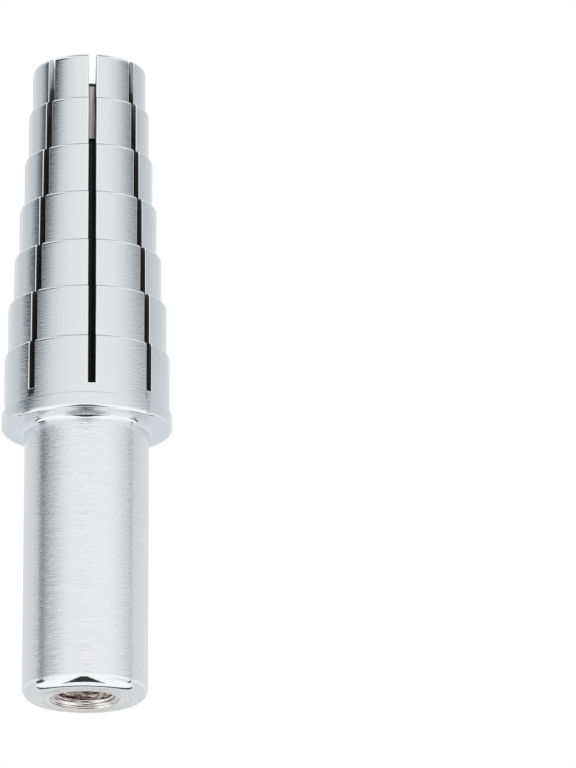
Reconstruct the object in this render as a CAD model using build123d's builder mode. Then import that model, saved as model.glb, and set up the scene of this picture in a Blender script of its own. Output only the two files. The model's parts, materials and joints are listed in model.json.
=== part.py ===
"""Expanding ring mandrel: a slotted steel body with seven stepped ring seats, spread from inside by a
draw bolt whose head is a cone.

Millimetres. The origin is the centre of the shank's end face, which the mandrel stands on. +Z runs
along the axis to the narrow end, where the bolt goes in.
"""

import os
from math import cos, radians, tan

from build123d import *

# Shank, the plain end that a chuck or a vice holds
shank_diameter = 17.8
shank_length = 39.6
shank_end_round = 1.6

# Flange between the shank and the seats
flange_diameter = 24.4
flange_thickness = 2.3
flange_low_round = 0.45
flange_top_round = 0.2
shank_fillet = 0.7

# Ring seats, from the flange to the narrow end
seat_diameters = (23.7, 22.8, 21.2, 19.8, 18.5, 17.4, 16.4)
seat_heights = (8.7, 7.6, 7.2, 7.5, 7.4, 7.3, 6.8)
seat_round = 0.4
rim_round = 0.9

# Slots that part the seats into jaws
slot_count = 8
slot_width = 1.05
slot_floor_height = 1.45

# Draw bolt, from its cone down to its threaded tip
cone_small_diameter = 9.0
cone_height = 8.0
cone_half_angle = 12.5
cone_recess = 3.9
cone_edge_round = 0.5
bolt_diameter = 7.9
bolt_length = 80.0
neck_fillet = 0.3
tip_chamfer_height = 1.0
tip_diameter = 6.4
socket_across_flats = 6.0
socket_depth = 5.0
socket_mouth_diameter = 7.5
socket_mouth_angle = 120.0
socket_drill_diameter = 5.8

# Bore of the body, round the bolt
bore_diameter = 8.8
tapped_length = 33.0
tap_mouth_diameter = 10.0
countersink_angle = 45.0
drill_point_angle = 59.0
thread_clearance = 0.08
cone_clearance = 0.05

# Heights worked out from the sizes above
flange_top = shank_length + flange_thickness
slot_floor = flange_top + slot_floor_height
rim_height = flange_top + sum(seat_heights)
cone_top = rim_height - cone_recess
cone_bottom = cone_top - cone_height
bolt_tip = cone_bottom - bolt_length
socket_floor = cone_top - socket_depth

# Radii worked out from the sizes above
shank_radius = shank_diameter / 2
flange_radius = flange_diameter / 2
rim_radius = seat_diameters[-1] / 2
bolt_radius = bolt_diameter / 2
bore_radius = bore_diameter / 2
tapped_radius = bolt_radius + thread_clearance
tap_mouth_radius = tap_mouth_diameter / 2
cone_small_radius = cone_small_diameter / 2
cone_large_radius = cone_small_radius + cone_height * tan(radians(cone_half_angle))


def taper_radius(height):
    """The mouth's radius at a height: the seated cone's own radius there, and the clearance beside it."""
    beside_cone = cone_clearance / cos(radians(cone_half_angle))
    return cone_small_radius + (height - cone_bottom) * tan(radians(cone_half_angle)) + beside_cone


# The taper runs from the rim down to where it is as narrow as the bore
taper_bottom = cone_bottom + (bore_radius - taper_radius(cone_bottom)) / tan(radians(cone_half_angle))
tap_mouth_depth = (tap_mouth_radius - tapped_radius) / tan(radians(countersink_angle))
drill_point_height = (bore_radius - tapped_radius) / tan(radians(drill_point_angle))
socket_drill_radius = socket_drill_diameter / 2
socket_point_height = socket_drill_radius / tan(radians(drill_point_angle))


def circles_at(part, radius, height, tolerance=0.01):
    """The round edges of a turned part at one radius and height."""
    return [
        edge
        for edge in part.edges().filter_by(GeomType.CIRCLE)
        if abs(edge.radius - radius) < tolerance and abs(edge.center().Z - height) < tolerance
    ]


# Body: one turned piece. Its half section goes up the outside, over the rim and down the bore. It is
# drawn through the middle of a jaw, clear of the slots.
jaw_middle_angle = 180 / slot_count
with BuildPart() as mandrel_body:
    outside = [(tap_mouth_radius, 0), (shank_radius, 0), (shank_radius, shank_length)]
    outside += [(flange_radius, shank_length), (flange_radius, flange_top)]
    height = flange_top
    for diameter, seat_height in zip(seat_diameters, seat_heights):
        outside += [(diameter / 2, height), (diameter / 2, height + seat_height)]
        height += seat_height
    inside = [
        (taper_radius(rim_height), rim_height),
        (bore_radius, taper_bottom),
        (bore_radius, tapped_length + drill_point_height),
        (tapped_radius, tapped_length),
        (tapped_radius, tap_mouth_depth),
    ]
    with BuildSketch(Plane.XZ.rotated((0, 0, jaw_middle_angle))):
        with BuildLine():
            Polyline(outside + inside, close=True)
        make_face()
    revolve(axis=Axis.Z)

    # Rounded edges: the shank's end and root, the flange, each seat's upper edge and the rim
    fillet(circles_at(mandrel_body, shank_radius, 0), shank_end_round)
    fillet(circles_at(mandrel_body, shank_radius, shank_length), shank_fillet)
    fillet(circles_at(mandrel_body, flange_radius, shank_length), flange_low_round)
    fillet(circles_at(mandrel_body, flange_radius, flange_top), flange_top_round)
    height = flange_top
    for diameter, seat_height in zip(seat_diameters[:-1], seat_heights[:-1]):
        height += seat_height
        fillet(circles_at(mandrel_body, diameter / 2, height), seat_round)
    fillet(circles_at(mandrel_body, rim_radius, rim_height), rim_round)

    # Slots: sawn from the rim down to a square floor just above the flange, through into the bore
    slot_height = rim_height - slot_floor
    with BuildSketch(Plane.XY.offset(slot_floor)):
        with PolarLocations(0, slot_count):
            Rectangle(flange_radius, slot_width, align=(Align.MIN, Align.CENTER))
    extrude(amount=slot_height, mode=Mode.SUBTRACT)

# Draw bolt: a cap screw whose head is turned to a cone. Its thread is drawn at its outer diameter.
with BuildPart() as draw_bolt:
    with BuildSketch(Plane.XZ):
        with BuildLine():
            Polyline(
                (0, bolt_tip),
                (bolt_radius, bolt_tip),
                (bolt_radius, cone_bottom),
                (cone_small_radius, cone_bottom),
                (cone_large_radius, cone_top),
                (0, cone_top),
                close=True,
            )
        make_face()
    revolve(axis=Axis.Z)

    # Chamfered tip, small fillet under the cone, rounded edge round the end face
    tip_face = draw_bolt.faces().sort_by(Axis.Z)[0]
    tip_edges = circles_at(draw_bolt, bolt_radius, bolt_tip)
    chamfer(tip_edges, bolt_radius - tip_diameter / 2, tip_chamfer_height, reference=tip_face)
    fillet(circles_at(draw_bolt, bolt_radius, cone_bottom), neck_fillet)
    fillet(circles_at(draw_bolt, cone_large_radius, cone_top), cone_edge_round)

    # Hex socket: drilled with a countersunk mouth, then broached, with the drill's point at its floor
    with Locations((0, 0, cone_top)):
        CounterSinkHole(
            radius=socket_drill_radius,
            counter_sink_radius=socket_mouth_diameter / 2,
            depth=socket_depth,
            counter_sink_angle=socket_mouth_angle,
        )
    with BuildSketch(Plane.XY.offset(socket_floor)):
        RegularPolygon(socket_across_flats / 2, 6, major_radius=False, rotation=30)
    extrude(amount=socket_depth, mode=Mode.SUBTRACT)
    with Locations((0, 0, socket_floor)):
        Cone(
            bottom_radius=0,
            top_radius=socket_drill_radius,
            height=socket_point_height,
            align=(Align.CENTER, Align.CENTER, Align.MAX),
            mode=Mode.SUBTRACT,
        )

os.makedirs("parts", exist_ok=True)
mandrel_body.part.label = "mandrel_body"
export_step(mandrel_body.part, "parts/mandrel_body.step")
draw_bolt.part.label = "draw_bolt"
export_step(draw_bolt.part, "parts/draw_bolt.step")

print(f"height {rim_height:.2f}, cone from {cone_bottom:.2f} to {cone_top:.2f}, tip {bolt_tip:.2f}")
print(f"taper from {taper_bottom:.2f}, mouth diameter {2 * taper_radius(rim_height):.2f}")
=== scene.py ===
"""Looks of the expanding ring mandrel: its plated body, its black bolt with a bare cone, and the studio.

Metres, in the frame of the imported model: +Z runs up the axis and the shank's end face is at z = 0. Both
turned pieces are modelled again round the same axis, finely, with what their solids leave out: the
rolled edges of the slots, the M8 thread of the bolt and the tapped thread in the shank.
"""

import json
from math import acos, asin, cos, pi, radians, sin, sqrt, tan

import bmesh
import bpy
from mathutils import Matrix, Vector


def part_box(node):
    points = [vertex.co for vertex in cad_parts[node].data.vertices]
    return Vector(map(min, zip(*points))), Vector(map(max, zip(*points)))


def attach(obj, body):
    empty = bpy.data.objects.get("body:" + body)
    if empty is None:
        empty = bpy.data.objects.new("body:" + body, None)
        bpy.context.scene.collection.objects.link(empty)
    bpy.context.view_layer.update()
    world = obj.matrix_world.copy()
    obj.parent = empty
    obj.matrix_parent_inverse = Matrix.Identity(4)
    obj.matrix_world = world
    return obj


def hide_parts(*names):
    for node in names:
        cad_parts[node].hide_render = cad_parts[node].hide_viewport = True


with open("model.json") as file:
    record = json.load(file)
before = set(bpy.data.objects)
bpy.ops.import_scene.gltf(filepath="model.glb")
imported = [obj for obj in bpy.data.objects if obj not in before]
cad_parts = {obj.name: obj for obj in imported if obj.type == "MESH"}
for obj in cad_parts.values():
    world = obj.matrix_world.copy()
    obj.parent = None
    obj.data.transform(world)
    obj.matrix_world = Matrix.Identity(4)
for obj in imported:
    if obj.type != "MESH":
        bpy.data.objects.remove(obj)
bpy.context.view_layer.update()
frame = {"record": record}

MM = 0.001

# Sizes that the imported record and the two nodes' boxes give
mounts = {mount["name"]: mount for mount in frame["record"]["mounts"]}
shank_radius = mounts["shank"]["dims"]["r_mm"] * MM
seat_radii = [mounts[f"ring_seat_{n}"]["dims"]["r_mm"] * MM for n in (7, 6, 5, 4, 3, 2, 1)]
flange_bottom = mounts["flange_underside"]["pos_m"][2]
cone_top = mounts["hex_socket"]["pos_m"][2]
rim_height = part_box("mandrel_body")[1].z
bolt_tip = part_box("draw_bolt")[0].z

# Body, as its solid has it. The seats go from the flange to the narrow end.
shank_end_round = 1.6 * MM
shank_fillet = 0.7 * MM
flange_radius = 12.2 * MM
flange_thickness = 2.3 * MM
flange_low_round = 0.45 * MM
flange_top_round = 0.2 * MM
seat_heights = [height * MM for height in (8.7, 7.6, 7.2, 7.5, 7.4, 7.3, 6.8)]
rim_round = 0.9 * MM
slot_count = 8
slot_width = 1.05 * MM
slot_floor_height = 1.45 * MM
bore_radius = 4.4 * MM
tapped_radius = 4.03 * MM
tapped_length = 33.0 * MM
tap_mouth_radius = 5.0 * MM
countersink_angle = radians(45)
drill_point_angle = radians(59)

# Edges rounder than the solid's: the seats' upper ones, as wide as the bright line that each shows, and
# the mouth's, which is only broken
seat_round = 0.55 * MM
mouth_edge_round = 0.12 * MM

# Slot edges, rolled over by polishing: further along the surface than down the slot's wall
edge_along = 0.2 * MM
edge_down = 0.12 * MM

# Bolt, as its solid has it
bolt_radius = 3.95 * MM
cone_small_radius = 4.5 * MM
cone_height = 8.0 * MM
cone_half_angle = radians(12.5)
cone_clearance = 0.05 * MM
cone_edge_round = 0.5 * MM
neck_fillet = 0.3 * MM
tip_chamfer_height = 1.0 * MM
socket_across_flats = 6.0 * MM
socket_depth = 5.0 * MM
socket_mouth_radius = 3.75 * MM
socket_mouth_angle = radians(60)
socket_drill_radius = 2.9 * MM

# M8 x 1.25 thread, cut 29.5 mm up the bolt and tapped through the shank. Its flat at the outer diameter
# is an eighth of the pitch.
thread_pitch = 1.25 * MM
thread_length = 29.5 * MM
bolt_thread_depth = 0.767 * MM
tap_thread_depth = 0.677 * MM
thread_run_out = 1.9 * MM
FLANK_SLOPE = tan(radians(30))
HALF_FLAT = 1 / 16

# Steps of the meshes: along a jaw, across a slot, round the bolt, in a rounding and in a rolled edge
jaw_steps = 16
slot_steps = 4
bolt_steps = 96
round_steps = 8
edge_steps = 4

# Worked out from the sizes above
flange_top = flange_bottom + flange_thickness
slot_floor = flange_top + slot_floor_height
cone_bottom = cone_top - cone_height
cone_slope = tan(cone_half_angle)
cone_large_radius = cone_small_radius + cone_height * cone_slope
beside_cone = cone_clearance / cos(cone_half_angle)
mouth_radius = cone_small_radius + (rim_height - cone_bottom) * cone_slope + beside_cone
taper_bottom = cone_bottom + (bore_radius - cone_small_radius - beside_cone) / cone_slope
tap_mouth_depth = (tap_mouth_radius - tapped_radius) / tan(countersink_angle)
drill_point_height = (bore_radius - tapped_radius) / tan(drill_point_angle)
thread_top = bolt_tip + thread_length
socket_floor = cone_top - socket_depth
socket_point = socket_floor - socket_drill_radius / tan(drill_point_angle)

# Faces that meet at more than this angle keep a hard edge, and points nearer than this distance are one
SHARP_EDGE = radians(40)
SAME_PLACE = 1e-7


# Outlines: a turned piece's half section, as (radius, height) points


def rounded(corners):
    """The outline through (radius, height, round) corners, with each round drawn as an arc."""
    points = []
    for i, (radius, height, size) in enumerate(corners):
        here = Vector((radius, height))
        if not size:
            points.append(here)
            continue
        before = (Vector(corners[i - 1][:2]) - here).normalized()
        after = (Vector(corners[(i + 1) % len(corners)][:2]) - here).normalized()
        half = acos(before.dot(after)) / 2
        centre = here + (before + after).normalized() * (size / sin(half))
        first = here + before * (size / tan(half)) - centre
        last = here + after * (size / tan(half)) - centre
        turn = pi - 2 * half
        for step in range(round_steps + 1):
            share = step / round_steps
            reach = first * sin(turn * (1 - share)) + last * sin(turn * share)
            points.append(centre + reach / sin(turn))
    return points


def inward(outline):
    """For each point of a closed outline, the step that moves it one unit into the metal."""
    steps = []
    for i, here in enumerate(outline):
        back = (here - outline[i - 1]).normalized()
        ahead = (outline[(i + 1) % len(outline)] - here).normalized()
        normals = [Vector((-way.y, way.x)) for way in (back, ahead)]
        steps.append((normals[0] + normals[1]) / (1 + normals[0].dot(normals[1])))
    return steps


# Meshes: rings of vertices round the axis, bands of faces between them


def ring(mesh, angles, radius, height):
    """A ring of vertices. Radius and height are numbers, or functions of the angle."""
    made = []
    for angle in angles:
        r = radius(angle) if callable(radius) else radius
        z = height(angle) if callable(height) else height
        made.append(mesh.verts.new((r * cos(angle), r * sin(angle), z)))
    return made


def face(mesh, corners, finish):
    """A face with the material that has the finish's number."""
    made = mesh.faces.new(corners)
    made.material_index = finish
    return made


def band(mesh, low, high, finish, gaps=()):
    """Faces between two rings, apart from those that start at the vertices numbered in gaps."""
    count = len(low)
    for i in range(count):
        if i not in gaps:
            j = (i + 1) % count
            face(mesh, (low[i], low[j], high[j], high[i]), finish)


def grid(mesh, rows, finish):
    """Faces between rows of vertices."""
    for low, high in zip(rows, rows[1:]):
        for i in range(len(low) - 1):
            face(mesh, (low[i], low[i + 1], high[i + 1], high[i]), finish)


def cap(mesh, edge, height, finish):
    """Faces from a ring to a point on the axis."""
    centre = mesh.verts.new((0, 0, height))
    for i in range(len(edge)):
        face(mesh, (edge[i], edge[(i + 1) % len(edge)], centre), finish)


def thread(mesh, angles, low, high, corners, radius_at, finishes):
    """A right-hand thread from one height to another. Corners are (share of the pitch, share of the depth)
    along one turn, with the finish from each to the next, and radius_at gives the radius for a height and a
    share of the depth."""
    rows = []
    for turn in range(-2, int((high - low) / thread_pitch) + 3):
        for along, depth in corners:
            row = []
            for angle in angles:
                z = low + thread_pitch * (turn + along + angle / (2 * pi))
                z = min(max(z, low), high)
                r = radius_at(z, depth)
                row.append(mesh.verts.new((r * cos(angle), r * sin(angle), z)))
            rows.append(row)

    # A row ends where the same row of the next turn starts. The last turn's rows lie all at the top, and
    # close on themselves.
    a_turn = len(corners)
    above = rows[a_turn:] + rows[-a_turn:]
    closed = [row + next_turn[:1] for row, next_turn in zip(rows, above)]
    for i in range(len(rows) - a_turn):
        grid(mesh, closed[i:i + 2], finishes[i % a_turn])


def finished(name, mesh, materials):
    """The object of a mesh: one closed surface, smooth but for its real edges."""
    bmesh.ops.remove_doubles(mesh, verts=mesh.verts, dist=SAME_PLACE)
    bmesh.ops.dissolve_degenerate(mesh, edges=mesh.edges, dist=SAME_PLACE)
    loose = [vert for vert in mesh.verts if not vert.link_faces]
    bmesh.ops.delete(mesh, geom=loose, context="VERTS")
    bmesh.ops.recalc_face_normals(mesh, faces=mesh.faces)
    for made in mesh.faces:
        made.smooth = True
    for edge in mesh.edges:
        edge.smooth = edge.is_manifold and edge.calc_face_angle(0) < SHARP_EDGE
    data = bpy.data.meshes.new(name)
    mesh.to_mesh(data)
    mesh.free()
    for material in materials:
        data.materials.append(material)
    made = bpy.data.objects.new(name, data)
    bpy.context.scene.collection.objects.link(made)
    even = made.modifiers.new("even_shading", "WEIGHTED_NORMAL")
    even.keep_sharp = True
    return made


# Body


def slotted_angles(radius):
    """Angles of a ring's vertices: for each slot, those across it and then those along the next jaw."""
    edge = asin((slot_width / 2 + edge_along) / radius)
    jaw = 2 * pi / slot_count - 2 * edge
    angles = []
    for n in range(slot_count):
        middle = 2 * pi * n / slot_count
        angles += [middle - edge + 2 * edge * i / slot_steps for i in range(slot_steps)]
        angles += [middle + edge + jaw * i / jaw_steps for i in range(jaw_steps)]
    return angles


def slotted_body(*materials):
    """The body: turned outside, bored and tapped inside, sawn into eight jaws. The materials come in the
    order of its finishes."""
    seats, shank, end, mouth, faced, edges, sawn, tapped = range(8)
    mesh = bmesh.new()

    # Up the outside and down the inside. Each has a point at the slots' floor, and one just below, where
    # the floor's rolled edge starts.
    outside = [
        (tap_mouth_radius, 0, 0),
        (shank_radius, 0, shank_end_round),
        (shank_radius, flange_bottom, shank_fillet),
        (flange_radius, flange_bottom, flange_low_round),
        (flange_radius, flange_top, flange_top_round),
        (seat_radii[0], flange_top, 0),
        (seat_radii[0], slot_floor - edge_along, 0),
        (seat_radii[0], slot_floor, 0),
    ]
    height = flange_top
    for radius, seat_height, above in zip(seat_radii, seat_heights, seat_radii[1:]):
        height += seat_height
        outside += [(radius, height, seat_round), (above, height, 0)]
    outside += [(seat_radii[-1], rim_height, rim_round), (mouth_radius, rim_height, mouth_edge_round)]
    inside = [
        (bore_radius, taper_bottom, 0),
        (bore_radius, slot_floor, 0),
        (bore_radius, slot_floor - edge_along, 0),
        (bore_radius, tapped_length + drill_point_height, 0),
        (tapped_radius, tapped_length, 0),
        (tapped_radius, tap_mouth_depth, 0),
    ]
    outline = rounded(outside + inside)
    into = inward(outline)
    at_floor = [abs(point.y - slot_floor) < SAME_PLACE for point in outline]
    outer_floor = at_floor.index(True)
    inner_floor = at_floor.index(True, outer_floor + 1)
    rim = next(i for i, point in enumerate(outline) if point.y > rim_height - SAME_PLACE)
    bored = next(i for i in range(rim, len(outline)) if outline[i].x < bore_radius + SAME_PLACE)

    # The turned surface, left open where the slots run and where the hole is tapped
    rings = [ring(mesh, slotted_angles(point.x), point.x, point.y) for point in outline]
    sector = slot_steps + jaw_steps
    slots = [n * sector + i for n in range(slot_count) for i in range(slot_steps)]
    for i in range(len(rings) - 2):
        here, there = outline[i], outline[i + 1]
        flat = abs(here.y - there.y) < SAME_PLACE
        curved = not flat and abs(here.x - there.x) > SAME_PLACE
        in_fillet = curved and here.x > shank_radius - SAME_PLACE and there.y < flange_bottom + SAME_PLACE
        if i >= bored:
            finish = tapped
        elif flat and here.y < SAME_PLACE:
            finish = end
        elif flat and here.y < flange_top - SAME_PLACE:
            finish = faced
        elif in_fillet or curved and here.y < flange_top - flange_thickness / 2:
            finish = edges
        else:
            finish = shank if here.y < flange_bottom - SAME_PLACE else seats
        open_here = slots if outer_floor - 1 <= i <= inner_floor else ()
        band(mesh, rings[i], rings[i + 1], finish, open_here)
    band(mesh, rings[-1], rings[0], mouth)

    # The tapped hole, between the bore and the countersunk mouth
    def tapped_wall(z, depth):
        """The hole's radius: the thread runs out before the bore, and starts in the countersink."""
        ridge = min(depth, (tapped_length - z) / thread_run_out) * tap_thread_depth
        countersunk = tap_mouth_radius - z * tan(countersink_angle)
        return max(tapped_radius - ridge, min(countersunk, tapped_radius))

    flank = tap_thread_depth * FLANK_SLOPE / thread_pitch
    half_crest = 0.5 - HALF_FLAT - flank
    corners = [(0.5 - half_crest, 1), (0.5 + half_crest, 1), (1 - HALF_FLAT, 0), (1 + HALF_FLAT, 0)]
    finishes = (mouth, tapped, tapped, tapped)
    angles = slotted_angles(tapped_radius)
    thread(mesh, angles, tap_mouth_depth, tapped_length, corners, tapped_wall, finishes)

    # A rolled edge, step by step: the share of its width that is left, and the share of its depth that is
    # past
    turns = [pi / 2 * step / edge_steps for step in range(1, edge_steps + 1)]
    rolled = [(1 - sin(turn), 1 - cos(turn)) for turn in turns]

    # Each slot: rolled edges up both jaws and across the floor, two walls and the floor
    floor_shares = [2 * i / slot_steps - 1 for i in range(slot_steps + 1)]
    heights = range(outer_floor, inner_floor + 1)
    for n in range(slot_count):
        middle = 2 * pi * n / slot_count

        def place(lateral, radius, z):
            """A vertex at this distance from the slot's middle plane."""
            along = sqrt(radius * radius - lateral * lateral)
            x = along * cos(middle) - lateral * sin(middle)
            y = along * sin(middle) + lateral * cos(middle)
            return mesh.verts.new((x, y, z))

        jaw_edges = []
        for side, first in ((-1, n * sector), (1, n * sector + slot_steps)):
            rows = [[rings[i][first]] for i in heights]
            for left, past in rolled:
                lateral = side * (slot_width / 2 + edge_along * left)
                for row, i in zip(rows, heights):
                    point = outline[i] + into[i] * edge_down * past
                    row.append(place(lateral, point.x, point.y))
            grid(mesh, rows, edges)
            wall = face(mesh, [row[-1] for row in rows], sawn)
            wall.normal_update()
            bmesh.ops.triangulate(mesh, faces=[wall], ngon_method="EAR_CLIP")
            jaw_edges.append(rows)

        # The floor's rolled ends, outside and in: the outline's point there, the one below, and the row of
        # the jaws' edges that meets it
        floor_ends = []
        for i, below, jaw_row in ((outer_floor, outer_floor - 1, 0), (inner_floor, inner_floor + 1, -1)):
            across = [rings[below][n * sector:n * sector + slot_steps + 1]]
            for left, past in rolled:
                reach = slot_width / 2 + edge_along * left
                point = outline[i] + into[i] * edge_down * past
                z = slot_floor - edge_along * left
                across.append([place(reach * share, point.x, z) for share in floor_shares])
            grid(mesh, across, edges)
            for corner, rows in zip((0, -1), jaw_edges):
                grid(mesh, [[row[corner] for row in across], rows[jaw_row]], edges)
            floor_ends.append(across[-1])
        grid(mesh, floor_ends, sawn)
    return finished("slotted_body", mesh, materials)


# Bolt


def cone_bolt(*materials):
    """The bolt: an M8 cap screw, blackened, its head turned to a bare cone and its thread's crests worn.
    The materials come in the order of its finishes."""
    blackened, bare, worn = range(3)
    mesh = bmesh.new()
    angles = [2 * pi * i / bolt_steps for i in range(bolt_steps)]
    root_radius = bolt_radius - bolt_thread_depth

    def threaded(z, depth):
        """The bolt's radius: the thread runs out under the plain part, and starts in the tip's chamfer."""
        groove = min(depth, (thread_top - z) / thread_run_out) * bolt_thread_depth
        chamfer = root_radius + (z - bolt_tip) * bolt_thread_depth / tip_chamfer_height
        return min(bolt_radius - groove, max(chamfer, root_radius))

    # Its crests lie in the grooves of the tapped hole
    flank = bolt_thread_depth * FLANK_SLOPE / thread_pitch
    phase = (bolt_tip - tap_mouth_depth) / thread_pitch % 1
    profile = (-HALF_FLAT, 0), (HALF_FLAT, 0), (HALF_FLAT + flank, 1), (1 - HALF_FLAT - flank, 1)
    corners = [(along - phase, depth) for along, depth in profile]
    finishes = (worn, blackened, blackened, blackened)
    thread(mesh, angles, bolt_tip, thread_top, corners, threaded, finishes)
    cap(mesh, ring(mesh, angles, root_radius, bolt_tip), bolt_tip, blackened)

    # Plain part, cone and end face
    outline = rounded([
        (bolt_radius, thread_top, 0),
        (bolt_radius, cone_bottom, neck_fillet),
        (cone_small_radius, cone_bottom, 0),
        (cone_large_radius, cone_top, cone_edge_round),
        (socket_mouth_radius, cone_top, 0),
    ])
    rings = [ring(mesh, angles, point.x, point.y) for point in outline]
    for low, high, here, there in zip(rings, rings[1:], outline, outline[1:]):
        turned = here.x > cone_small_radius - SAME_PLACE and there.y < cone_top - cone_edge_round
        band(mesh, low, high, bare if turned else blackened)

    # Hex socket, from its countersunk mouth down to the drill's point
    def hexagon(angle):
        """How far out the socket's side is."""
        from_flat_middle = (angle + pi / 6) % (pi / 3) - pi / 6
        return socket_across_flats / 2 / cos(from_flat_middle)

    def countersunk(angle):
        """The height at which the socket's side meets the countersink."""
        return cone_top - (socket_mouth_radius - hexagon(angle)) / tan(socket_mouth_angle)

    mouth = ring(mesh, angles, hexagon, countersunk)
    floor = ring(mesh, angles, hexagon, socket_floor)
    drilled = ring(mesh, angles, socket_drill_radius, socket_floor)
    band(mesh, rings[-1], mouth, blackened)
    band(mesh, mouth, floor, blackened)
    band(mesh, floor, drilled, blackened)
    cap(mesh, drilled, socket_point, blackened)
    return finished("cone_bolt", mesh, materials)


# Materials

# What each kind of mark takes up of a surface: the level of its noise where it starts, and where it is
# complete
stroke_levels = 0.4, 0.6
# The painted shade's darker rings in the tool's marks
ring_shade_levels = 0.5, 0.6
oil_levels = 0.46, 0.58
wear_levels = 0.4, 0.62

# Painted shade on the slots' walls, darker down the slots: heights where it is darkest, and where it ends
painted_slot_shade_heights = rim_height - 16 * MM, rim_height - 3 * MM

# What brushed metal mirrors is drawn out at a quarter turn from its strokes
QUARTER_TURN = 0.25


def colour(code):
    """An sRGB hex colour as the linear values that shaders take."""
    parts = [int(code[i:i + 2], 16) / 255 for i in (1, 3, 5)]
    return [c / 12.92 if c <= 0.04045 else ((c + 0.055) / 1.055) ** 2.4 for c in parts] + [1.0]


def add(tree, kind, links=None, **settings):
    """Adds a node. Settings are its properties. Links are its inputs by name or number: values, sockets,
    or nodes, of which the first output is taken."""
    node = tree.nodes.new(kind)
    for name, value in settings.items():
        setattr(node, name, value)
    for name, value in (links or {}).items():
        if isinstance(value, bpy.types.Node):
            value = value.outputs[0]
        if isinstance(value, bpy.types.NodeSocket):
            tree.links.new(value, node.inputs[name])
        else:
            node.inputs[name].default_value = value
    return node


def either_side(tree, value, edge, before, past, change="SMOOTHSTEP"):
    """One colour before an edge and another past it. The edge is where the change starts and ends, as
    levels of the value."""
    share = add(
        tree, "ShaderNodeMapRange", {"Value": value, "From Min": edge[0], "From Max": edge[1]},
        interpolation_type=change,
    )
    return add(tree, "ShaderNodeMix", {0: share, 6: before, 7: past}, data_type="RGBA").outputs[2]


def new_material(name):
    """A material and its node tree, still empty."""
    material = bpy.data.materials.new(name)
    material.use_nodes = True
    tree = material.node_tree
    tree.nodes.clear()
    return material, tree


def turning_marks(tree, stroke, spacing, detail=2.0):
    """Noise drawn out round the axis, as a lathe tool or an emery cloth leaves it: strokes of about one
    length round the piece, one spacing apart along it or, on a flat face, outwards. Real marks are a few
    hundredths of a millimetre apart, too fine to show. These are as coarse as they need to be to show."""
    place = add(tree, "ShaderNodeTexCoord").outputs["Object"]
    flat = add(tree, "ShaderNodeVectorMath", {0: place, 1: (1, 1, 0)}, operation="MULTIPLY")
    outwards = add(tree, "ShaderNodeVectorMath", {0: flat}, operation="LENGTH").outputs["Value"]
    way = add(tree, "ShaderNodeVectorMath", {0: flat}, operation="NORMALIZE")
    strokes_round = (shank_radius / stroke,) * 3
    around = add(tree, "ShaderNodeVectorMath", {0: way, 1: strokes_round}, operation="MULTIPLY")
    up = add(tree, "ShaderNodeVectorMath", {0: place, 1: (0, 0, 1 / spacing)}, operation="MULTIPLY")
    vector = add(tree, "ShaderNodeVectorMath", {0: around, 1: up}, operation="ADD")
    depth = add(tree, "ShaderNodeMath", {0: outwards, 1: 1 / spacing}, operation="MULTIPLY")
    noise = add(
        tree, "ShaderNodeTexNoise", {"Vector": vector, "W": depth, "Scale": 1.0, "Detail": detail},
        noise_dimensions="4D",
    )
    return noise.outputs[0]


def plated_steel(name, code, roughness, across, stroke, spacing, grain, speckle, painted_ring_shade=None):
    """Turned steel, bright plated. Strokes round the axis, as deep as the grain, go from the brighter
    roughness to the duller one, and a speckle in the plating roughens it. What the metal mirrors is drawn
    out across the strokes. Painted shade of another colour may darken part of the tool's marks, as rings."""
    material, tree = new_material(name)
    strokes = turning_marks(tree, stroke, spacing)
    specks = turning_marks(tree, stroke=0.16 * MM, spacing=0.12 * MM, detail=0.0)
    stroked = add(tree, "ShaderNodeBump", {"Height": strokes, "Strength": 1.0, "Distance": grain})
    bump = add(tree, "ShaderNodeBump", {
        "Height": specks, "Strength": 1.0, "Distance": speckle, "Normal": stroked,
    })
    bright, dull = roughness
    level = add(tree, "ShaderNodeMapRange", {
        "Value": strokes, "From Min": stroke_levels[0], "From Max": stroke_levels[1],
        "To Min": bright, "To Max": dull,
    })
    shade = colour(code)
    # Painted shade: darker rings in part of the tool's marks, for the shade in its grooves
    if painted_ring_shade:
        marks = turning_marks(tree, stroke=9 * MM, spacing=0.2 * MM)
        shade = either_side(tree, marks, ring_shade_levels, shade, colour(painted_ring_shade))
    tangent = add(tree, "ShaderNodeTangent", direction_type="RADIAL", axis="Z")
    shader = add(tree, "ShaderNodeBsdfPrincipled", {
        "Base Color": shade,
        "Metallic": 1.0,
        "Roughness": level,
        "Anisotropic": across,
        "Anisotropic Rotation": QUARTER_TURN,
        "Tangent": tangent,
        "Normal": bump,
    })
    add(tree, "ShaderNodeOutputMaterial", {"Surface": shader})
    return material


def sawn_steel():
    """The slots' walls, sawn and then plated: duller than the turned outside, with painted shade that
    darkens them down the slot.
    """
    material, tree = new_material("plated_sawn_steel")
    place = add(tree, "ShaderNodeTexCoord").outputs["Object"]
    height = add(tree, "ShaderNodeSeparateXYZ", {0: place}).outputs["Z"]
    shader = add(tree, "ShaderNodeBsdfPrincipled", {
        # Painted shade: the walls' colour darkens down the slot
        "Base Color": either_side(tree, height, painted_slot_shade_heights, colour("#B4B1AE"), colour("#F0F2F3")),
        "Metallic": 1.0,
        "Roughness": 0.4,
    })
    add(tree, "ShaderNodeOutputMaterial", {"Surface": shader})
    return material


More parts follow.
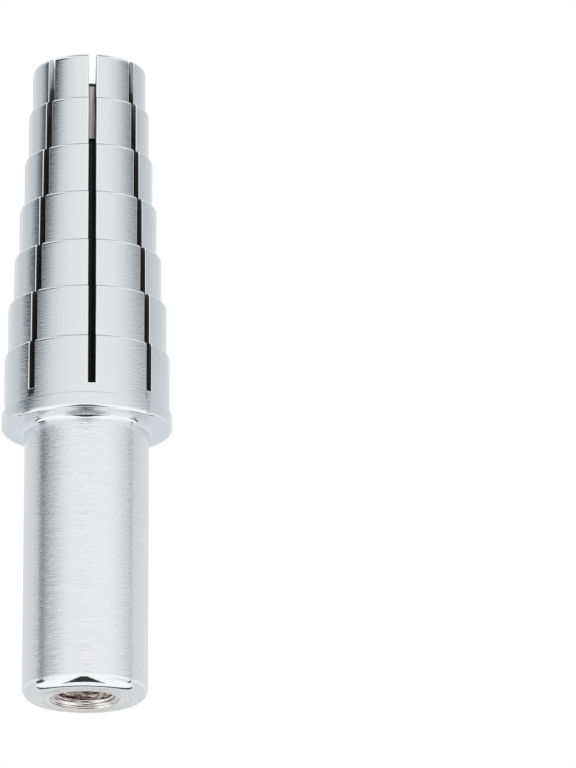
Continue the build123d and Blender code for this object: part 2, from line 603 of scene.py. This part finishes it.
def tapped_steel():
    """The bore and the tapped hole: bare steel in the tap's marks, wiped bright in places and under a film
    of brown oil in others, where plating doesn't reach."""
    material, tree = new_material("oiled_tapped_steel")
    marks = turning_marks(tree, stroke=3.0 * MM, spacing=0.2 * MM)
    bump = add(tree, "ShaderNodeBump", {"Height": marks, "Strength": 1.0, "Distance": 0.16 * MM})
    wiped = turning_marks(tree, stroke=2.0 * MM, spacing=0.25 * MM)
    shader = add(tree, "ShaderNodeBsdfPrincipled", {
        "Base Color": either_side(tree, wiped, oil_levels, colour("#7C6E68"), colour("#E6DAD4")),
        "Metallic": 1.0,
        "Roughness": 0.25,
        "Normal": bump,
    })
    add(tree, "ShaderNodeOutputMaterial", {"Surface": shader})
    return material


def black_oxide():
    """Black oxide on rolled steel, oiled: near black, with a soft sheen."""
    material, tree = new_material("black_oxide_steel")
    shader = add(tree, "ShaderNodeBsdfPrincipled", {
        "Base Color": colour("#242426"),
        "Metallic": 0.0,
        "Roughness": 0.4,
    })
    add(tree, "ShaderNodeOutputMaterial", {"Surface": shader})
    return material


def bare_steel():
    """The cone, turned bare: warmer and darker than plating, with rings from the tool."""
    material, tree = new_material("bare_turned_steel")
    marks = turning_marks(tree, stroke=4.0 * MM, spacing=0.1 * MM)
    bump = add(tree, "ShaderNodeBump", {"Height": marks, "Strength": 1.0, "Distance": 0.006 * MM})
    shader = add(tree, "ShaderNodeBsdfPrincipled", {
        "Base Color": colour("#C6C4C1"),
        "Metallic": 1.0,
        "Roughness": 0.33,
        "Normal": bump,
    })
    add(tree, "ShaderNodeOutputMaterial", {"Surface": shader})
    return material


def worn_oxide():
    """The crests of the bolt's thread, where use wears the black oxide through to bright steel in places."""
    material, tree = new_material("worn_oxide_steel")
    marks = turning_marks(tree, stroke=1.5 * MM, spacing=0.4 * MM)
    shade = either_side(tree, marks, wear_levels, colour("#3C3C3E"), colour("#D4D4D2"), "LINEAR")
    shader = add(tree, "ShaderNodeBsdfPrincipled", {
        "Base Color": shade,
        "Metallic": 1.0,
        "Roughness": 0.3,
    })
    add(tree, "ShaderNodeOutputMaterial", {"Surface": shader})
    return material


# Studio: the camera, the light all round and the floor

# The camera stands low in front, a little to the left, and looks up at the shank's end. Its lens and
# sensor are in millimetres.
camera_azimuth = radians(-5.1)
camera_distance = 827 * MM
camera_height = -211.4 * MM
camera_offset = 28.8 * MM
camera_pitch = radians(17.33)
camera_roll = radians(-0.16)
lens_length = 283.1
sensor_size = 36
nearest_seen = 0.1
farthest_seen = 10

towards_camera = Vector((sin(camera_azimuth), -cos(camera_azimuth), 0))
camera_right = Vector((cos(camera_azimuth), sin(camera_azimuth), 0))

# Each light is a level of grey, where white is 1, and gets this much cooler as it gets darker
dark_coolness = 0.1
WHITE = (1, 1, 1, 1)

# Light round the object: the angle in degrees from the camera's side, then how bright it is at each of
# four elevations. A wide panel is in front, a dark gap at each side of it, and a pale backdrop behind.
ring_elevations = radians(16.2), radians(17.4), radians(20.8), radians(29)
light_round = (
    (-180, 0.77, 0.93, 0.95, 0.95), (-160, 0.77, 0.87, 0.88, 0.88), (-140, 0.81, 0.77, 0.78, 0.78),
    (-130, 0.8, 0.71, 0.72, 0.72), (-120, 0.8, 0.66, 0.68, 0.68), (-110, 0.8, 0.56, 0.6, 0.6),
    (-104, 0.8, 0.33, 0.45, 0.3), (-99, 0.84, 0.16, 0.28, 0.1), (-95.5, 0.9, 0.14, 0.18, 0.05),
    (-92, 0.6, 0.07, 0.05, 0.03), (-84, 0.45, 0.06, 0.02, 0.02), (-76, 0.72, 0.15, 0.02, 0.02),
    (-70, 0.82, 0.34, 0.04, 0.02), (-65, 0.86, 0.47, 0.15, 0.03), (-60, 0.87, 0.6, 0.33, 0.06),
    (-55, 0.88, 0.71, 0.53, 0.16), (-50, 0.9, 0.79, 0.68, 0.36), (-40, 0.92, 0.87, 0.84, 0.74),
    (-25, 0.94, 0.93, 0.93, 0.93), (0, 0.97, 0.97, 0.97, 0.97), (40, 0.98, 0.94, 0.91, 0.91),
    (50, 0.99, 0.88, 0.82, 0.88), (60, 0.99, 0.82, 0.7, 0.85), (70, 0.98, 0.68, 0.5, 0.76),
    (80, 0.94, 0.51, 0.34, 0.62), (90, 0.88, 0.39, 0.24, 0.5), (94.5, 0.62, 0.3, 0.15, 0.4),
    (97, 0.82, 0.6, 0.55, 0.55), (110, 0.83, 0.62, 0.62, 0.62), (130, 0.82, 0.71, 0.71, 0.71),
    (150, 0.8, 0.79, 0.8, 0.8), (180, 0.77, 0.93, 0.95, 0.95),
)

# Every edge between two lights is soft, and is given as where it starts and where it ends.

# Overhead light, and a darker ceiling above it
panel_edge = radians(44), radians(48)
panel_level = 1.0
ceiling_edge = radians(64), radians(72)
ceiling_level = 0.5

# Below the horizon a white card lies in front and under the object, duller at both sides near the horizon.
# Places on it are given as how far they are behind the object or beside it, for each unit down.
card_edge = radians(-1), radians(-5)
card_level = 1.0
card_sides = radians(35), radians(85)
card_sides_low_edge = radians(-34), radians(-34) / 3
card_sides_level = 0.77
card_reach = 0.64, 0.68

# A dark strip, widest in the middle, parts the card's far edge from a duller floor
strip_reach = 1.14, 1.18
strip_taper = 0.34
strip_level = 0.03
floor_level = 0.72

# The two gaps go on a little below the horizon. Each has its two sides, and both have the same low edge.
left_gap = (radians(-100), radians(-98)), (radians(-81), radians(-79))
right_gap = (radians(89.5), radians(91.5)), (radians(94), radians(96))
gap_low_edge = radians(-27), radians(-19)
gap_level = 0.05

# A dark stand comes in from the front, up to a round white foot under the object, whose edge is given by
# the cosines of its angles from the foot's middle
stand_top = radians(-15), radians(-17)
stand_end = -0.02, 0.02
stand_side = 0.39, 0.45
stand_level = 0.04
foot_elevation = radians(-97)
foot_edge = cos(radians(22.5)), cos(radians(20.5))

# Paper floor: a round sheet just under the shank's end, lifted to white where the camera sees it
floor_radius = 2.5
floor_sides = 64
floor_drop = 0.02 * MM
floor_glow = 0.25


def grey(level):
    """A light's colour."""
    cool = dark_coolness * (1 - level)
    return level * (1 - cool), level, level * (1 + cool), 1


def studio_light():
    """Soft light from all round, plain white to the camera. Metal shows the panels and the gaps."""
    world = bpy.data.worlds.new("studio")
    bpy.context.scene.world = world
    world.use_nodes = True
    tree = world.node_tree
    tree.nodes.clear()

    # Where a direction lies: round the object from the camera's side, and above the horizon. Below it, also
    # how far behind and beside the object for each unit down.
    way = add(tree, "ShaderNodeTexCoord").outputs["Generated"]
    turned = add(
        tree, "ShaderNodeVectorRotate", {"Vector": way, "Angle": -camera_azimuth}, rotation_type="Z_AXIS",
    )
    parts = add(tree, "ShaderNodeSeparateXYZ", {0: turned}).outputs
    front = add(tree, "ShaderNodeMath", {0: parts["Y"], 1: -1.0}, operation="MULTIPLY")
    azimuth = add(tree, "ShaderNodeMath", {0: parts["X"], 1: front}, operation="ARCTAN2")
    elevation = add(tree, "ShaderNodeMath", {0: parts["Z"]}, operation="ARCSINE")
    from_front = add(tree, "ShaderNodeMath", {0: azimuth}, operation="ABSOLUTE")
    behind = add(tree, "ShaderNodeMath", {0: front, 1: parts["Z"]}, operation="DIVIDE")
    right = add(tree, "ShaderNodeMath", {0: parts["X"], 1: parts["Z"]}, operation="DIVIDE")
    beside = add(tree, "ShaderNodeMath", {0: right}, operation="ABSOLUTE")
    tapered = add(tree, "ShaderNodeMath", {0: beside, 1: strip_taper, 2: behind}, operation="MULTIPLY_ADD")
    foot = (0, -cos(foot_elevation), sin(foot_elevation))
    near_foot = add(tree, "ShaderNodeVectorMath", {0: turned, 1: foot}, operation="DOT_PRODUCT")

    # Above the horizon
    share = add(tree, "ShaderNodeMapRange", {"Value": azimuth, "From Min": -pi, "From Max": pi})
    rings = []
    for column in range(1, len(ring_elevations) + 1):
        ramp = add(tree, "ShaderNodeValToRGB", {0: share})
        stops = ramp.color_ramp.elements
        while len(stops) < len(light_round):
            stops.new(0.5)
        for stop, row in zip(stops, light_round):
            stop.position = (row[0] + 180) / 360
            stop.color = grey(row[column])
        rings.append(ramp.outputs[0])
    high_light = rings[0]
    for start, end, above in zip(ring_elevations, ring_elevations[1:], rings[1:]):
        high_light = either_side(tree, elevation, (start, end), high_light, above, "LINEAR")
    high_light = either_side(tree, elevation, panel_edge, high_light, grey(panel_level))
    high_light = either_side(tree, elevation, ceiling_edge, high_light, grey(ceiling_level))

    # Below it
    strip = either_side(tree, tapered, strip_reach, grey(strip_level), grey(floor_level))
    sides = either_side(tree, elevation, card_sides_low_edge, grey(card_level), grey(card_sides_level))
    card = either_side(tree, from_front, card_sides, grey(card_level), sides)
    low_light = either_side(tree, behind, card_reach, card, strip)
    gap = either_side(tree, elevation, gap_low_edge, low_light, grey(gap_level))
    for near_side, far_side in (left_gap, right_gap):
        from_gap = either_side(tree, azimuth, far_side, gap, low_light)
        low_light = either_side(tree, azimuth, near_side, low_light, from_gap)

    # Both, and the stand in front of them
    light = either_side(tree, elevation, card_edge, high_light, low_light)
    stand = either_side(tree, near_foot.outputs["Value"], foot_edge, grey(stand_level), light)
    stand = either_side(tree, behind, stand_end, stand, light)
    stand = either_side(tree, beside, stand_side, stand, light)
    light = either_side(tree, elevation, stand_top, light, stand)

    seen = add(tree, "ShaderNodeLightPath").outputs["Is Camera Ray"]
    shown = add(tree, "ShaderNodeMix", {0: seen, 6: light, 7: WHITE}, data_type="RGBA").outputs[2]
    background = add(tree, "ShaderNodeBackground", {"Color": shown, "Strength": 1.0})
    add(tree, "ShaderNodeOutputWorld", {"Surface": background})


def paper_floor():
    """White paper that the mandrel stands on. From below it isn't there, as the camera looks up through
    it."""
    material, tree = new_material("white_paper")
    paper = add(tree, "ShaderNodeBsdfDiffuse", {"Color": colour("#E4E4E4")})
    glow = add(tree, "ShaderNodeEmission", {"Color": WHITE, "Strength": floor_glow})
    lifted = add(tree, "ShaderNodeAddShader", {0: paper, 1: glow})
    seen = add(tree, "ShaderNodeLightPath").outputs["Is Camera Ray"]
    above = add(tree, "ShaderNodeMixShader", {0: seen, 1: paper, 2: lifted})
    from_below = add(tree, "ShaderNodeNewGeometry").outputs["Backfacing"]
    clear = add(tree, "ShaderNodeBsdfTransparent")
    both = add(tree, "ShaderNodeMixShader", {0: from_below, 1: above, 2: clear})
    add(tree, "ShaderNodeOutputMaterial", {"Surface": both})
    mesh = bmesh.new()
    bmesh.ops.create_circle(mesh, cap_ends=True, segments=floor_sides, radius=floor_radius)
    data = bpy.data.meshes.new("floor")
    mesh.to_mesh(data)
    mesh.free()
    data.materials.append(material)
    floor = bpy.data.objects.new("floor", data)
    floor.location.z = -floor_drop
    floor.visible_glossy = False
    floor.visible_shadow = False
    bpy.context.scene.collection.objects.link(floor)


def camera():
    """The camera, placed and aimed as given above."""
    data = bpy.data.cameras.new("camera")
    data.lens = lens_length
    data.sensor_width = sensor_size
    data.clip_start = nearest_seen
    data.clip_end = farthest_seen
    made = bpy.data.objects.new("camera", data)
    bpy.context.scene.collection.objects.link(made)
    bpy.context.scene.camera = made
    place = towards_camera * camera_distance + camera_right * camera_offset + Vector((0, 0, camera_height))
    facing = Matrix.Rotation(camera_azimuth, 4, "Z") @ Matrix.Rotation(pi / 2 + camera_pitch, 4, "X")
    made.matrix_world = Matrix.Translation(place) @ facing @ Matrix.Rotation(camera_roll, 4, "Z")


body = slotted_body(
    # Ring seats, turned and polished before plating: nearly a mirror, with faint lines round it
    plated_steel(
        "plated_turned_steel", "#E6E8E9", roughness=(0.07, 0.14), across=0.4,
        stroke=1.2 * MM, spacing=0.15 * MM, grain=0.006 * MM, speckle=0.002 * MM,
    ),
    # Shank, brushed round with emery cloth: satin, with what it mirrors drawn out along it
    plated_steel(
        "plated_brushed_steel", "#EEEEEF", roughness=(0.08, 0.34), across=0.8,
        stroke=1.6 * MM, spacing=0.14 * MM, grain=0.01 * MM, speckle=0.011 * MM,
    ),
    # The shank's end, faced with a coarse feed: rings that catch the light, with faint darker rings of
    # painted shade in some
    plated_steel(
        "plated_end_face", "#FFFDFB", roughness=(0.2, 0.35), across=0.6,
        stroke=12 * MM, spacing=0.35 * MM, grain=0.25 * MM, speckle=0.003 * MM, painted_ring_shade="#EFEAE6",
    ),
    # The countersink, cut in the same way: bright rings, with brown rings of painted shade in some
    plated_steel(
        "plated_tap_mouth", "#FBF8F6", roughness=(0.2, 0.35), across=0.6,
        stroke=12 * MM, spacing=0.3 * MM, grain=0.2 * MM, speckle=0.003 * MM, painted_ring_shade="#7A6E69",
    ),
    # The flange's underside, faced with a fine feed: soft and even, with fine rings
    plated_steel(
        "plated_faced_steel", "#F0F5F8", roughness=(0.2, 0.35), across=0.6,
        stroke=12 * MM, spacing=0.2 * MM, grain=0.02 * MM, speckle=0.003 * MM,
    ),
    # Rounded edges, polished smoothest: crisp bright and dark lines
    plated_steel(
        "plated_polished_edges", "#F6F7F8", roughness=(0.05, 0.1), across=0.4,
        stroke=0.6 * MM, spacing=0.12 * MM, grain=0.003 * MM, speckle=0.003 * MM,
    ),
    sawn_steel(),
    tapped_steel(),
)
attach(body, "body")
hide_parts("mandrel_body")

bolt = cone_bolt(black_oxide(), bare_steel(), worn_oxide())
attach(bolt, "bolt")
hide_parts("draw_bolt")

studio_light()
paper_floor()
camera()
bpy.context.scene.view_settings.view_transform = "Standard"
